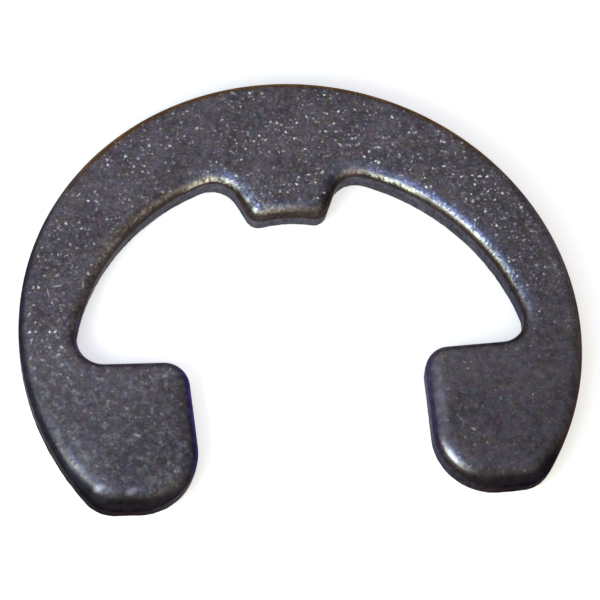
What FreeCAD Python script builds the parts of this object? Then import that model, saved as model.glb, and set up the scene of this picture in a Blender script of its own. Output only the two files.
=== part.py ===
import FreeCAD, Part
import Sketcher
import math
import os

# Snap ring of the E type: one flat blank of spring steel that is pushed sideways into a shaft groove.
# The origin is the axis of the rim, on the face that lies down.
# +Y points to the crown, and +Z to the face with the rolled edge.

SIZES = {
    # Strip and rim
    "strip_thickness": (1.2, "mm"),
    "outer_diameter": (20.4, "mm"),
    "limb_width": (1.85, "mm"),
    # Centre prong: reach is from the axis to the middle of its hollow tip, and length is from there
    # to the deepest line of the valleys beside the prong
    "tip_reach": (4.66, "mm"),
    "tip_length": (2.0, "mm"),
    "tip_width": (2.63, "mm"),
    "tip_hollow_radius": (4.3, "mm"),
    "tip_flank_lean": (24.0, "deg"),
    # End prongs: the shoulder is their upper edge, the throat their edges that face each other, and
    # the toe their lower edge, which cuts this much off the rim's full circle
    "shoulder_depth": (1.02, "mm"),
    "shoulder_slope": (1.94, "deg"),
    "throat_width": (8.36, "mm"),
    "throat_lean": (1.1, "deg"),
    "toe_cut": (3.61, "mm"),
    "toe_slope": (2.27, "deg"),
    # Rounds of the outline's corners
    "tip_round": (0.52, "mm"),
    "valley_round": (0.96, "mm"),
    "root_round": (0.96, "mm"),
    "shoulder_round": (0.91, "mm"),
    "toe_round": (2.17, "mm"),
    "heel_round": (1.32, "mm"),
    # Edges: the punch side rolls over, the other side is only tumbled
    "edge_roll": (0.25, "mm"),
    "tumbled_edge": (0.1, "mm"),
}

# Share of the tip's corner that the rolled edge may take: beyond half of it the roll closes on itself
ROLL_SHARE_OF_TIP = 0.49

# Share of the toe's width that its inner corner may take, so that the heel's corner keeps its room
ROUND_SHARE_OF_TOE = 0.62

# How far a corner or face may lie from its computed place and still be the one that is meant
MATCH = 0.001


def size(name):
    return SIZES[name][0]


def write_sheet(doc):
    """One row for each driving size: its name, its value, its unit."""
    sheet = doc.addObject("Spreadsheet::Sheet", "Sizes")
    for row, (name, (value, unit)) in enumerate(SIZES.items(), start=1):
        sheet.set("A%d" % row, name)
        sheet.set("B%d" % row, repr(value))
        sheet.set("C%d" % row, unit)
        sheet.setAlias("B%d" % row, name)
    doc.recompute()


def origin_plane(body, role):
    return next(plane for plane in body.Origin.OriginFeatures if plane.Role == role)


def arc(centre, start, end):
    """Arc round the centre, counter-clockwise from one point to the other."""
    circle = Part.Circle(centre, FreeCAD.Vector(0, 0, 1), (start - centre).Length)
    angles = [math.atan2(point.y - centre.y, point.x - centre.x) for point in (start, end)]
    return Part.ArcOfCircle(circle, angles[0], angles[1])


def first_corners():
    """Corners of the right half's outline, close to their places. The sketch's sizes then settle them."""
    rim_radius = size("outer_diameter") / 2
    inner_radius = rim_radius - size("limb_width")
    half_tip = size("tip_width") / 2
    half_throat = size("throat_width") / 2
    hollow = size("tip_hollow_radius")
    tip_corner_height = size("tip_reach") - hollow + math.sqrt(hollow ** 2 - half_tip ** 2)
    valley_height = size("tip_reach") + size("tip_length")
    lean = math.tan(math.radians(size("tip_flank_lean")))
    valley_reach = half_tip + lean * (valley_height - tip_corner_height)
    toe_depth = rim_radius - size("toe_cut")
    heel_reach = math.sqrt(rim_radius ** 2 - toe_depth ** 2)
    return {
        "tip": FreeCAD.Vector(0, size("tip_reach"), 0),
        "tip_corner": FreeCAD.Vector(half_tip, tip_corner_height, 0),
        "valley": FreeCAD.Vector(valley_reach, valley_height, 0),
        "root": FreeCAD.Vector(inner_radius, -size("shoulder_depth"), 0),
        "shoulder": FreeCAD.Vector(half_throat, -size("shoulder_depth"), 0),
        "toe": FreeCAD.Vector(half_throat, -toe_depth, 0),
        "heel": FreeCAD.Vector(heel_reach, -toe_depth, 0),
        "crown": FreeCAD.Vector(0, rim_radius, 0),
        "axis": FreeCAD.Vector(0, 0, 0),
        "inner_centre": FreeCAD.Vector(0, valley_height - inner_radius, 0),
        "tip_centre": FreeCAD.Vector(0, size("tip_reach") - hollow, 0),
    }


def half_outline(body):
    """Right half of the blank with sharp corners, closed along the mirror line."""
    sketch = body.newObject("Sketcher::SketchObject", "HalfOutline")
    sketch.AttachmentSupport = (origin_plane(body, "XY_Plane"), [""])
    sketch.MapMode = "FlatFace"

    at = first_corners()
    edges = {
        "tip": arc(at["tip_centre"], at["tip_corner"], at["tip"]),
        "flank": Part.LineSegment(at["tip_corner"], at["valley"]),
        "inner": arc(at["inner_centre"], at["root"], at["valley"]),
        "shoulder": Part.LineSegment(at["shoulder"], at["root"]),
        "throat": Part.LineSegment(at["toe"], at["shoulder"]),
        "toe": Part.LineSegment(at["toe"], at["heel"]),
        "rim": arc(at["axis"], at["heel"], at["crown"]),
        "mirror": Part.LineSegment(at["crown"], at["tip"]),
    }
    number = {name: sketch.addGeometry(edge, False) for name, edge in edges.items()}
    start, end, centre = 1, 2, 3
    origin, y_axis = -1, -2

    joined = [
        ("tip", start, "flank", start),
        ("flank", end, "inner", end),
        ("inner", start, "shoulder", end),
        ("shoulder", start, "throat", end),
        ("throat", start, "toe", start),
        ("toe", end, "rim", start),
        ("rim", end, "mirror", start),
        ("mirror", end, "tip", end),
    ]
    for first, first_end, second, second_end in joined:
        sketch.addConstraint(
            Sketcher.Constraint("Coincident", number[first], first_end, number[second], second_end))
    sketch.addConstraint(Sketcher.Constraint("Coincident", number["rim"], centre, origin, start))
    on_mirror_line = [("mirror", start), ("mirror", end), ("tip", centre), ("inner", centre)]
    for name, point in on_mirror_line:
        sketch.addConstraint(Sketcher.Constraint("PointOnObject", number[name], point, y_axis))

    def driven(name, constraint, formula):
        index = sketch.addConstraint(constraint)
        sketch.renameConstraint(index, name)
        sketch.setExpression("Constraints." + name, formula)

    def radius(name, edge, value, formula):
        driven(name, Sketcher.Constraint("Radius", number[edge], value), formula)

    def above_axis(name, edge, point, value, formula):
        driven(name, Sketcher.Constraint("DistanceY", origin, start, number[edge], point, value), formula)

    def below_axis(name, edge, point, value, formula):
        driven(name, Sketcher.Constraint("DistanceY", number[edge], point, origin, start, value), formula)

    def beside_axis(name, edge, point, value, formula):
        driven(name, Sketcher.Constraint("DistanceX", origin, start, number[edge], point, value), formula)

    def turned(name, edge, degrees, formula):
        driven(name, Sketcher.Constraint("Angle", number[edge], math.radians(degrees)), formula)

    radius("rim_radius", "rim", at["crown"].y, "Sizes.outer_diameter / 2")
    radius("inner_radius", "inner", at["root"].x, "Sizes.outer_diameter / 2 - Sizes.limb_width")
    radius("tip_hollow", "tip", size("tip_hollow_radius"), "Sizes.tip_hollow_radius")
    above_axis("tip_reach", "tip", end, at["tip"].y, "Sizes.tip_reach")
    below_axis("inner_depth", "inner", centre, -at["inner_centre"].y,
               "Sizes.outer_diameter / 2 - Sizes.limb_width - Sizes.tip_reach - Sizes.tip_length")
    below_axis("shoulder_depth", "shoulder", start, -at["shoulder"].y, "Sizes.shoulder_depth")
    below_axis("toe_depth", "toe", start, -at["toe"].y, "Sizes.outer_diameter / 2 - Sizes.toe_cut")
    beside_axis("half_tip", "flank", start, at["tip_corner"].x, "Sizes.tip_width / 2")
    beside_axis("half_throat", "throat", start, at["toe"].x, "Sizes.throat_width / 2")
    turned("flank_angle", "flank", 90 - size("tip_flank_lean"), "90 - Sizes.tip_flank_lean")
    turned("shoulder_angle", "shoulder", size("shoulder_slope"), "Sizes.shoulder_slope")
    turned("throat_angle", "throat", 90 - size("throat_lean"), "90 - Sizes.throat_lean")
    turned("toe_angle", "toe", size("toe_slope"), "Sizes.toe_slope")

    measured = Sketcher.Constraint("DistanceX", number["toe"], start, number["toe"], end,
                                   at["heel"].x - at["toe"].x)
    index = sketch.addConstraint(measured)
    sketch.setDriving(index, False)
    sketch.renameConstraint(index, "toe_width")

    body.Document.recompute()
    corners = {
        "tip_round": sketch.getPoint(number["flank"], start),
        "valley_round": sketch.getPoint(number["flank"], end),
        "root_round": sketch.getPoint(number["shoulder"], end),
        "shoulder_round": sketch.getPoint(number["shoulder"], start),
        "toe_round": sketch.getPoint(number["toe"], start),
        "heel_round": sketch.getPoint(number["toe"], end),
    }
    return sketch, corners


def blank(body, sketch):
    """Half the blank at the strip's thickness, and its mirror image on the other side of the crown."""
    pad = body.newObject("PartDesign::Pad", "Strip")
    pad.Profile = sketch
    pad.setExpression("Length", "Sizes.strip_thickness")
    mirrored = body.newObject("PartDesign::Mirrored", "BothHalves")
    mirrored.Originals = [pad]
    mirrored.MirrorPlane = (origin_plane(body, "YZ_Plane"), [""])
    mirrored.Refine = True
    body.Tip = mirrored
    body.Document.recompute()
    return mirrored


def upright_edges(shape, corner):
    """Names of the upright edges at a corner of the outline and at its mirror image."""
    names = []
    for index, edge in enumerate(shape.Edges, start=1):
        points = [vertex.Point for vertex in edge.Vertexes]
        stands = len(points) == 2 and abs(points[0].z - points[1].z) > MATCH
        off_x = [abs(abs(point.x) - corner.x) for point in points]
        off_y = [abs(point.y - corner.y) for point in points]
        if stands and max(off_x + off_y) < MATCH:
            names.append("Edge%d" % index)
    return names


def face_edges(shape, height):
    """Names of the edges that lie all along one flat side."""
    names = []
    for index, edge in enumerate(shape.Edges, start=1):
        box = edge.BoundBox
        if abs(box.ZMin - height) < MATCH and abs(box.ZMax - height) < MATCH:
            names.append("Edge%d" % index)
    return names


def rounded(body, base, label, names, formula):
    """Fillet of the named edges of the last feature."""
    fillet = body.newObject("PartDesign::Fillet", label)
    fillet.Base = (base, names)
    fillet.setExpression("Radius", formula)
    body.Tip = fillet
    body.Document.recompute()
    return fillet


def round_corners(body, feature, corners):
    room_at_toe = "%r * HalfOutline.Constraints.toe_width / 1 mm" % ROUND_SHARE_OF_TOE
    limited = {"toe_round": "min(Sizes.toe_round; %s)" % room_at_toe}
    for name, corner in corners.items():
        label = name.title().replace("_", "")
        formula = limited.get(name, "Sizes." + name)
        feature = rounded(body, feature, label, upright_edges(feature.Shape, corner), formula)
    return feature


def round_edges(body, feature):
    """The rolled edge all round the upper face, and the small tumbled one all round the lower face."""
    roll = "min(Sizes.edge_roll; %r * Sizes.tip_round)" % ROLL_SHARE_OF_TIP
    feature = rounded(body, feature, "EdgeRoll", face_edges(feature.Shape, size("strip_thickness")), roll)
    rounded(body, feature, "TumbledEdge", face_edges(feature.Shape, 0), "Sizes.tumbled_edge")


def snap_ring(doc):
    body = doc.addObject("PartDesign::Body", "snap_ring")
    body.Label = "snap_ring"
    sketch, corners = half_outline(body)
    feature = blank(body, sketch)
    feature = round_corners(body, feature, corners)
    round_edges(body, feature)
    body.Placement = FreeCAD.Placement()
    return body


def check(doc, pieces):
    """Stops before anything is written if a feature failed or a piece has no sound solid."""
    for item in doc.Objects:
        if "Invalid" in item.State or "Error" in item.State:
            raise RuntimeError("%s failed: %s" % (item.Name, item.State))
    for piece in pieces:
        if piece.Shape.isNull() or not piece.Shape.isValid() or len(piece.Shape.Solids) != 1:
            raise RuntimeError("%s is not one sound solid" % piece.Label)


def main():
    doc = FreeCAD.newDocument("snap_ring")
    write_sheet(doc)
    pieces = [snap_ring(doc)]
    doc.recompute()
    check(doc, pieces)
    os.makedirs("parts", exist_ok=True)
    for piece in pieces:
        piece.Shape.exportStep("parts/%s.step" % piece.Label)
        print(piece.Label, "volume %.2f mm3" % piece.Shape.Volume, piece.Shape.BoundBox)


main()
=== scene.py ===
import math
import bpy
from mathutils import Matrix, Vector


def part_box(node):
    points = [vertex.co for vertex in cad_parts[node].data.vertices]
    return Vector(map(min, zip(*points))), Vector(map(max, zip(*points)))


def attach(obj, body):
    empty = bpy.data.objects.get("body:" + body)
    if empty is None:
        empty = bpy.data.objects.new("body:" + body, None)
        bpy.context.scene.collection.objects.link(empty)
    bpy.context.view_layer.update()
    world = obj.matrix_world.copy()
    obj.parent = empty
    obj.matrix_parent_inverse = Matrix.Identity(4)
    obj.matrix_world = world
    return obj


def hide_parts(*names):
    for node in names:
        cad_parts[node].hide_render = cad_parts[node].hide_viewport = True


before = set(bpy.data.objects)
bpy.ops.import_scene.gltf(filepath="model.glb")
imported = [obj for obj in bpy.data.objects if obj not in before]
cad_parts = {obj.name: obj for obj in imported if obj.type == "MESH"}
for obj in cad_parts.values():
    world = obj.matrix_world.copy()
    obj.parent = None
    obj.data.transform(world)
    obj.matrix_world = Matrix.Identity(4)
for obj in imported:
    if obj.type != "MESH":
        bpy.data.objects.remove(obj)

from types import SimpleNamespace

import bpy
import numpy as np
from mathutils import Matrix, Vector

bl_info = {
    "name": "Snap Ring",
    "version": (1, 0, 0),
    "blender": (4, 5, 0),
    "location": "3D View > Sidebar > Snap Ring",
    "description": "Builds a snap ring of phosphated spring steel, its floor, its light and its camera",
    "category": "Mesh",
}

# Every length is in metres, so sizes that a maker would read in millimetres are multiples of MM
MM = 0.001

NODE = "snap_ring"
SLOT = "phosphated_spring_steel"
NODE_LOW, NODE_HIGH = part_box(NODE)
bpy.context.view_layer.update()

# Cells of the mesh: along half the strip, across it, and up its edge
CELLS_ALONG_HALF = 300
CELLS_ACROSS = 40
CELLS_TUMBLED = 4
CELLS_WALL = 9
CELLS_ROLL = 16

# Angles round the rim from the crown that lie across from the prong's corner, the valley and the root
CORNER_ACROSS = math.radians(9)
VALLEY_ACROSS = math.radians(20)
ROOT_ACROSS = math.radians(96)

# More columns where the flank and the shoulder lie, and straight edge that costs as much as a radian
FLANK_COLUMNS = 1.2
SHOULDER_COLUMNS = 1.6
RADIAN_COST = 0.9 * MM

# Steps in which costs are summed, steps of Newton's method, and a hair's breadth along the outline,
# by which a point falls in the run before it
FINE_STEPS = 4001
NEWTON_STEPS = 30
HAIR = 1e-9 * MM

# Share of the way down the strip from which it takes up the bow of the throat
BOW_START = 0.62

# Half the way in which the shoulder's roll passes into the throat's, and the way behind the heel in
# which the toe's passes into the rim's
THROAT_CHANGE = 0.3 * MM
RIM_CHANGE = 1.5 * MM

# Spread of the bell curve that smooths the way into the metal. Under the roll it is twice as wide
INWARD_SPREAD = 0.2 * MM

# Height in which the torn wall passes into the sheared wall
FRACTURE_CHANGE = 0.12 * MM

# Unevenness: widths of the faces' waves and of the tears, how upright a tear is, the number of plane
# waves in either, and the seeds of their random draws
FACE_WAVE_WIDTH = 0.9 * MM
TEAR_WIDTH = 0.35 * MM
TEAR_UPRIGHT = 0.4
PLANE_WAVES = 28
UPPER_SEED = 3
LOWER_SEED = 4
TEAR_SEED = 5


# Sizes and colours that a user would change. The functions call the four groups o for the outline, e
# for the edges, f for the finish and s for the stage

def length(name, about, value):
    """Size in metres."""
    return bpy.props.FloatProperty(
        name=name, description=about, default=value, unit="LENGTH", precision=5)


def angle(name, about, degrees):
    """Angle, written in degrees and kept in radians."""
    return bpy.props.FloatProperty(
        name=name, description=about, default=math.radians(degrees), subtype="ANGLE")


def amount(name, about, value, low=0.0, high=100.0):
    """Plain number between two bounds."""
    return bpy.props.FloatProperty(name=name, description=about, default=value, min=low, max=high)


def roll(name, about, width, depth):
    """Width of a rolled edge over the face and its depth down the wall."""
    return bpy.props.FloatVectorProperty(
        name=name, description=about + ": width and depth", default=(width, depth), size=2,
        subtype="XYZ_LENGTH", unit="LENGTH", precision=5)


def linear(code):
    """sRGB hex to linear red, green and blue."""
    channels = np.array([int(code[i:i + 2], 16) for i in (1, 3, 5)]) / 255
    low = channels / 12.92
    high = ((channels + 0.055) / 1.055) ** 2.4
    return tuple(float(c) for c in np.where(channels <= 0.04045, low, high))


def colour(name, about, code):
    """Colour, written as an sRGB hex value and kept linear."""
    return bpy.props.FloatVectorProperty(
        name=name, description=about, default=linear(code), subtype="COLOR", size=3, min=0.0, max=1.0)


class SnapRingOutline(bpy.types.PropertyGroup):
    outer_diameter: length("Outer diameter", "Across the round rim", NODE_HIGH.x - NODE_LOW.x)
    limb_width: length("Limb width", "Width of the two limbs beside the prongs", 1.85 * MM)
    tip_reach: length("Tip reach", "From the axis to the middle of the centre prong's tip", 4.66 * MM)
    tip_length: length("Tip length", "From the tip's middle to the line of the valleys", 2.0 * MM)
    tip_width: length("Tip width", "Across the centre prong's tip, between sharp corners", 2.63 * MM)
    tip_hollow: length("Tip hollow", "Radius of the tip's hollow", 4.3 * MM)
    flank_lean: angle("Flank lean", "How far the centre prong's flanks lean outwards", 24.0)
    shoulder_depth: length("Shoulder depth", "From the axis down to the end prongs' shoulders", 1.02 * MM)
    shoulder_slope: angle("Shoulder slope", "Rise of the shoulders towards the limbs", 1.94)
    throat_width: length("Throat width", "Between the end prongs' inner edges at the toe", 8.36 * MM)
    throat_lean: angle("Throat lean", "How far the throat opens towards the axis", 1.1)
    toe_cut: length("Toe cut", "What the toe takes off the rim's full circle", 3.61 * MM)
    toe_slope: angle("Toe slope", "Rise of the toe towards the heel", 2.27)
    tip_round: length("Tip round", "Corner of the centre prong", 0.52 * MM)
    valley_round: length("Valley round", "Hollow beside the centre prong", 0.96 * MM)
    root_round: length("Root round", "Hollow between limb and shoulder", 0.96 * MM)
    shoulder_round: length("Shoulder round", "Upper inner corner of an end prong", 0.91 * MM)
    toe_round: length("Toe round", "Lower inner corner of an end prong", 2.17 * MM)
    heel_round: length("Heel round", "Lower outer corner of an end prong", 1.32 * MM)


class SnapRingEdges(bpy.types.PropertyGroup):
    thickness: length("Thickness", "Of the steel strip", NODE_HIGH.z - NODE_LOW.z)
    tip_roll: roll("Tip roll", "Rolled edge of the centre prong", 0.56 * MM, 0.60 * MM)
    arc_roll: roll("Arc roll", "Rolled edge inside the limbs", 0.56 * MM, 0.44 * MM)
    shoulder_roll: roll("Shoulder roll", "Rolled edge of the shoulders", 0.55 * MM, 0.42 * MM)
    throat_roll: roll("Throat roll", "Rolled edge of the throat", 0.70 * MM, 0.46 * MM)
    toe_roll: roll("Toe roll", "Rolled edge of the toes", 0.68 * MM, 0.66 * MM)
    rim_roll: roll("Rim roll", "Rolled edge round the rim", 0.52 * MM, 0.44 * MM)
    roll_front: amount("Roll front", "Squareness of the rolled edge where it meets the wall", 2.0, 1.2, 4.0)
    roll_top: amount("Roll top", "Squareness of the rolled edge where it meets the face", 2.0, 1.5, 4.0)
    tumbled: length("Tumbled edge", "Round of the lower edge", 0.1 * MM)
    fracture_top: length("Fracture top", "Height up to which the wall is torn and not sheared", 0.42 * MM)
    fracture_set_in: length("Fracture set-in", "How far the torn part of the wall stands back", 0.02 * MM)
    fracture_wave: length("Fracture wave", "Unevenness of the torn part", 0.006 * MM)
    face_wave: length("Face wave", "Unevenness that tumbling leaves on the faces", 0.0012 * MM)


class SnapRingFinish(bpy.types.PropertyGroup):
    steel: colour("Phosphated steel", "Dark grey with a breath of violet", "#706672")
    steel_thin: colour("Thin phosphate", "Blue-grey patches where the coat is thin", "#6b6a75")
    steel_oiled: colour("Oiled phosphate", "Olive patches where the coat holds more oil", "#6d6867")
    # Specks are bare points of the coat and painted glints: their white shows under any light
    speck: colour("Speck", "Crystals and bare points that glint", "#f2f2fa")
    rubbed: colour("Rubbed coat", "Places on the prongs where the coat is rubbed thin", "#a5aeab")
    # The worn crest and brow are the colours of painted highlights along the rolled edge, bluish towards
    # the face and warm towards the wall
    highlight_cool: colour("Worn crest", "Rubbed bright, on the side of the face", "#adb6cb")
    highlight_warm: colour("Worn brow", "Rubbed bright, on the side of the wall", "#c4bfb4")
    edge_cool: colour("Cool edge", "Tinge of the rolled edge where it leaves the face", "#606880")
    edge_warm: colour("Warm edge", "Tinge of the rolled edge above the wall", "#6b5f56")
    lip: colour("Lip", "Steep part of the rolled edge inside the ring", "#3e3533")
    outer_lip: colour("Outer lip", "Steep part of the edge round the crown and the right limb", "#4a3932")
    crown_lip: colour("Crown lip", "Brown tinge of the rolled edge round the crown", "#6d5032")
    left_lip: colour("Left lip", "Steep part of the rolled edge round the left limb", "#302d3a")
    toe_lip: colour("Toe lip", "Steep part of the rolled edge of the toes and heels", "#242128")
    film: colour("Film", "Violet film on the lips of the throat", "#493d76")
    wall: colour("Wall", "Sheared edge inside the ring", "#5a5862")
    wall_film: colour("Wall film", "Blue film on the sheared edge near the throat", "#54536b")
    # The outer wall's dark colour is painted shade: the reflection of the shaded floor at its foot
    outer_wall: colour("Outer wall", "Sheared edge round the rim and toes", "#31282e")
    grain: length("Grain", "Width of a patch of phosphate crystals", 0.085 * MM)
    grain_tilt: amount("Grain tilt", "Slope of the steepest patches", 0.12, 0.0, 1.0)
    mottle: length("Mottle", "Width of the cloudy patches", 0.30 * MM)
    speck_size: length("Speck size", "Across a glinting speck", 0.085 * MM)
    speck_gap: length("Speck gap", "Between neighbouring bright specks", 0.36 * MM)
    roughness: amount("Roughness", "Of the coat", 0.33, 0.0, 1.0)


class SnapRingStage(bpy.types.PropertyGroup):
    floor: colour("Floor", "Pale matt floor", "#e8e8e8")
    floor_side: length("Floor side", "Side of the square floor", 4.0)
    floor_lift: amount("Floor lift", "Share of white that the floor adds to its own light", 0.44, 0.0, 1.0)
    sky: amount("Sky", "Brightness of the soft light from above", 0.53)
    zenith: amount("Zenith", "What the soft light gains straight above", 0.13)
    horizon: amount("Horizon", "Brightness of the surroundings at the height of the floor", 0.09)
    sky_cool: colour("Cool sky", "Colour of the soft light on the side of the lamps", "#f0f6ff")
    sky_warm: colour("Warm sky", "Colour of the soft light on the other side", "#fdf5f3")
    lamps: amount("Lamps", "Brightness of all lamps together", 0.87)
    distance: length("Camera distance", "From the camera to the ring's middle", 112.84 * MM)
    azimuth: angle("Camera azimuth", "Round the ring, 0 looks along +Y", -18.70)
    elevation: angle("Camera elevation", "Above the floor", 63.0)
    roll: angle("Camera roll", "Turn about the line of sight", 13.68)
    lens: amount("Lens", "Focal length in millimetres on a 36 mm sensor", 187.3, 1.0, 500.0)


# Outline: edges walked with the metal on their left, and the rounds between them

RUNS = ["tip", "tip_corner", "flank", "valley", "arc", "root", "shoulder", "shoulder_corner", "throat",
        "toe_corner", "toe", "heel", "rim"]


def straight(x, y, heading):
    """Straight edge through a point, with its heading in radians round from +X."""
    return {"at": np.array([x, y]), "heading": heading, "radius": 0.0}


def round_edge(x, y, radius):
    """Round edge about a centre: a positive radius turns left, a negative one turns right."""
    return {"at": np.array([x, y]), "heading": 0.0, "radius": radius}


def left_of(edge):
    """Unit direction to the left of a straight edge, which is into the metal."""
    return np.array([-math.sin(edge["heading"]), math.cos(edge["heading"])])


def moved_in(edge, distance):
    """The same edge, shifted into the metal. A round edge that turns left shrinks, the other grows."""
    if edge["radius"]:
        return dict(edge, radius=edge["radius"] - distance)
    return dict(edge, at=edge["at"] + distance * left_of(edge))


def gap(edge, point):
    """Signed distance of a point from an edge, and the direction in which that distance grows."""
    if edge["radius"]:
        away = point - edge["at"]
        reach = np.linalg.norm(away)
        return reach - abs(edge["radius"]), away / reach
    return float(left_of(edge) @ (point - edge["at"])), left_of(edge)


def meeting(first, second, near):
    """Where two edges cross, by Newton's steps from a point near it."""
    point = np.array(near, dtype=float)
    for _ in range(NEWTON_STEPS):
        gaps, ways = zip(*(gap(edge, point) for edge in (first, second)))
        point = point - np.linalg.solve(np.array(ways), np.array(gaps))
    return point


def heading_at(edge, point):
    """Direction of travel along an edge at a point of it."""
    if not edge["radius"]:
        return edge["heading"]
    away = point - edge["at"]
    return math.atan2(away[1], away[0]) + math.copysign(math.pi / 2, edge["radius"])


def turn(start, end, side):
    """Angle from one heading to the next, turning left for a positive side and right for a negative one."""
    swept = (end - start) % (2 * math.pi)
    return swept if side > 0 else swept - 2 * math.pi


def half_chain(o):
    """Runs of the right half of the outline, from the tip's middle round the end prong to the crown.

    Each pair of neighbouring edges is joined by a round, whose centre lies where both edges meet when
    they are moved in by its radius, or out for a hollow corner. A run has a start, a heading, a length
    and one curvature."""
    rim = o.outer_diameter / 2
    inner = rim - o.limb_width
    inner_height = o.tip_reach + o.tip_length - inner
    corner_height = o.tip_reach - o.tip_hollow + math.sqrt(o.tip_hollow ** 2 - (o.tip_width / 2) ** 2)
    toe_depth = rim - o.toe_cut
    half_throat = o.throat_width / 2
    edges = [
        round_edge(0, o.tip_reach - o.tip_hollow, -o.tip_hollow),
        straight(o.tip_width / 2, corner_height, math.pi / 2 - o.flank_lean),
        round_edge(0, inner_height, -inner),
        straight(half_throat, -o.shoulder_depth, math.pi + o.shoulder_slope),
        straight(half_throat, -toe_depth, -math.pi / 2 - o.throat_lean),
        straight(half_throat, -toe_depth, o.toe_slope),
        round_edge(0, 0, rim),
    ]
    valley_reach = o.tip_width / 2 + o.tip_length * math.tan(o.flank_lean)
    corners = [
        (o.tip_round, (o.tip_width / 2, corner_height)),
        (-o.valley_round, (valley_reach, inner_height + inner)),
        (-o.root_round, (inner, -o.shoulder_depth)),
        (o.shoulder_round, (half_throat, -o.shoulder_depth)),
        (o.toe_round, (half_throat, -toe_depth)),
        (o.heel_round, (math.sqrt(rim ** 2 - toe_depth ** 2), -toe_depth)),
    ]

    runs = []

    def add_run(start, start_heading, end, end_heading, radius):
        """One run from a place and heading to the next, straight where the radius is 0."""
        if radius:
            curvature = 1 / radius
            distance = turn(start_heading, end_heading, radius) / curvature
        else:
            curvature = 0.0
            distance = np.linalg.norm(end - start)
        runs.append((start[0], start[1], start_heading, distance, curvature))

    point = np.array([0.0, o.tip_reach])
    for edge, following, (radius, near) in zip(edges, edges[1:], corners):
        centre = meeting(moved_in(edge, radius), moved_in(following, radius), near)
        touch = []
        for side in (edge, following):
            distance, way = gap(side, centre)
            touch.append(centre - distance * way)
        add_run(point, heading_at(edge, point), touch[0], heading_at(edge, touch[0]), edge["radius"])
        add_run(touch[0], heading_at(edge, touch[0]), touch[1], heading_at(following, touch[1]), radius)
        point = touch[1]
    crown = np.array([0.0, rim])
    add_run(point, heading_at(edges[-1], point), crown, heading_at(edges[-1], crown), rim)
    return np.array(runs)


def whole_chain(half):
    """The right half and then its mirror image, walked back from the crown to the tip's middle."""
    distance, curvature = half[:, 3], half[:, 4]
    end, end_heading = walk(half, np.cumsum(distance) - HAIR)
    mirrored = np.stack([-end[:, 0], end[:, 1], -end_heading, distance, curvature], axis=1)
    return np.concatenate([half, mirrored[::-1]])


def walk(chain, stations):
    """Points and headings at these distances along the chain.

    A run of constant curvature ends, after a distance, at its start plus a chord. The chord points
    along the middle heading and is the distance times the sinc of half the angle turned."""
    x, y, heading, distance, curvature = chain.T
    ends = np.cumsum(distance)
    stations = np.mod(stations, ends[-1])
    run = np.minimum(np.searchsorted(ends, stations, side="right"), len(chain) - 1)
    along = stations - (ends - distance)[run]
    turned = along * curvature[run]
    chord = along * np.sinc(turned / (2 * math.pi))
    middle = heading[run] + turned / 2
    points = np.stack([x[run] + chord * np.cos(middle), y[run] + chord * np.sin(middle)], axis=1)
    return points, heading[run] + turned


def curvature_at(chain, stations):
    """Curvature of the run that each of these distances along the chain falls in."""
    ends = np.cumsum(chain[:, 3])
    run = np.searchsorted(ends, np.mod(stations, ends[-1]), side="right")
    return chain[np.minimum(run, len(chain) - 1), 4]


def inward(chain, stations, spread):
    """Unit direction into the metal, averaged along the edge by a bell curve of this spread.

    Averaging keeps the inner line of the rolled edge from crossing itself at the prong's corners. The
    curve is sampled out to three spreads on either side."""
    total = chain[:, 3].sum()
    offsets = np.linspace(-3, 3, 61)
    weights = np.exp(-offsets ** 2 / 2)
    _, headings = walk(chain, (stations[:, None] + offsets * spread).ravel() % total)
    headings = headings.reshape(len(stations), -1)
    way = np.stack([-np.sin(headings) @ weights, np.cos(headings) @ weights], axis=1)
    return way / np.linalg.norm(way, axis=1, keepdims=True)


def evenly(cost, count):
    """Values from 0 to 1 that divide a running cost, sampled evenly from 0 to 1, into equal parts."""
    spent = np.concatenate([[0], np.cumsum((cost[1:] + cost[:-1]) / 2)])
    return np.interp(np.linspace(0, spent[-1], count + 1), spent, np.linspace(0, 1, len(cost)))


def strip_stations(chain, half):
    """Where the columns of half the strip start on its inner side and end on its outer side.

    The prong's middle pairs with the crown, the valley and the root with the rim beside them, and the
    shoulder's corner with the toe's. Between them both sides advance together, faster where neither
    side bends. Also gives the stations down the throat, from the shoulder's corner to the toe's."""
    ends = np.cumsum(half[:, 3])
    starts = ends - half[:, 3]
    middles = dict(zip(RUNS, (starts + ends) / 2))
    corner, valley, root, shoulder, toe = (
        middles[name] for name in ("tip_corner", "valley", "root", "shoulder_corner", "toe_corner"))
    crown = ends[-1]
    rim_radius = 1 / half[-1, 4]
    places = np.cumsum([
        0, corner, FLANK_COLUMNS * (valley - corner), root - valley, SHOULDER_COLUMNS * (shoulder - root)])
    steps = np.linspace(0, 1, FINE_STEPS)
    inner = np.interp(steps, places / places[-1], [0, corner, valley, root, shoulder])
    outer = np.interp(steps, places / places[-1], [
        crown, crown - rim_radius * CORNER_ACROSS, crown - rim_radius * VALLEY_ACROSS,
        crown - rim_radius * ROOT_ACROSS, toe])
    costs = [np.abs(np.gradient(side)) * (1 + RADIAN_COST * np.abs(curvature_at(chain, side)))
             for side in (inner, outer)]
    share = evenly(np.maximum(*costs), CELLS_ALONG_HALF)
    down = toe + (shoulder - toe) * steps[::-1]
    throat_share = evenly(1 + RADIAN_COST * np.abs(curvature_at(chain, down)), CELLS_ACROSS)
    throat = shoulder + (toe - shoulder) * throat_share
    return np.interp(share, steps, inner), np.interp(share, steps, outer), throat


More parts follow.
